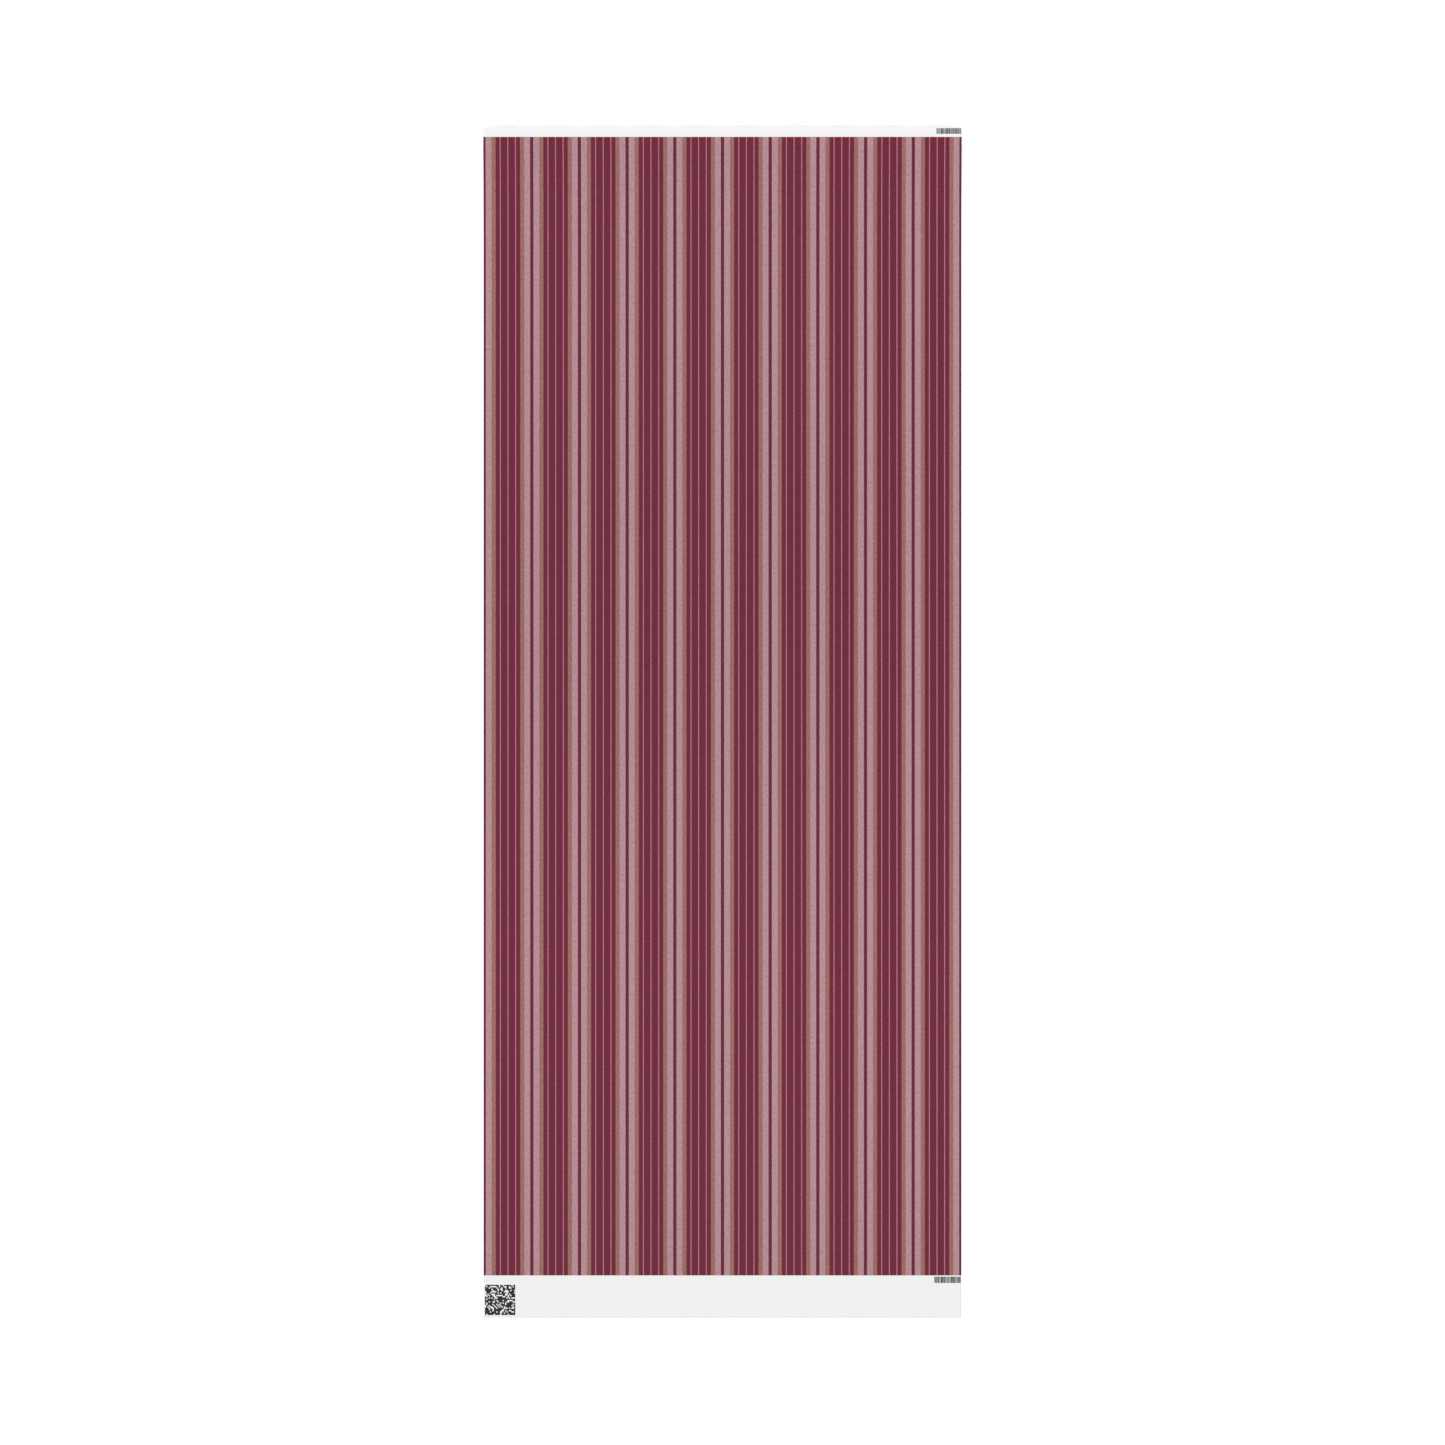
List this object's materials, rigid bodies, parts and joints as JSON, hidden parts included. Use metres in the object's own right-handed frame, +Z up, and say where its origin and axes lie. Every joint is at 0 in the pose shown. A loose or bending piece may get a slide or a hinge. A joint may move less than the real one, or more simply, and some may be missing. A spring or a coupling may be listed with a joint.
{
  "type": "wrapping paper roll",
  "caption": "Wide striped gift-wrap web on a cardboard core, pulled out flat from the roll and wound back in by turning it.",
  "frame": {"origin": "on the floor, midway along and across the laid-out web and its roll", "axes": "+Y along the web towards the roll, X along the roll's axis, +Z up"},
  "size_m": [0.762, 1.898, 0.0442],
  "materials": {
    "printed_paper": "matt, striped in wine, pink and tan along the web",
    "blank_paper": "matt, unprinted",
    "kraft_board": "matt",
    "glue": "satin"
  },
  "bodies": {
    "web": {"lifted_web": "printed_paper", "flat_web": "printed_paper"},
    "roll": {"core_inner_ply": "kraft_board", "core_middle_ply": "kraft_board", "core_outer_ply": "kraft_board", "pickup_glue": "glue", "wound_web": "printed_paper", "outer_turn": "printed_paper", "header_strip": "blank_paper"},
    "free_end": {"end_strip": "blank_paper"}
  },
  "joints": [
    {"name": "roll_wind", "type": "hinge", "parent": "web", "child": "roll", "pos_m": [0, 0.927, 0.022], "axis": [-1, 0, 0], "range_deg": [0, 4090]},
    {"name": "web_draw", "type": "slide", "parent": "web", "child": "free_end", "axis": [0, 1, 0], "range_m": [0, 1.5709], "deforming": ["flat_web"]}
  ],
  "couplings": [
    {"joint": "web_draw", "follows": "roll_wind", "m_per_rad": 0.022}
  ]
}
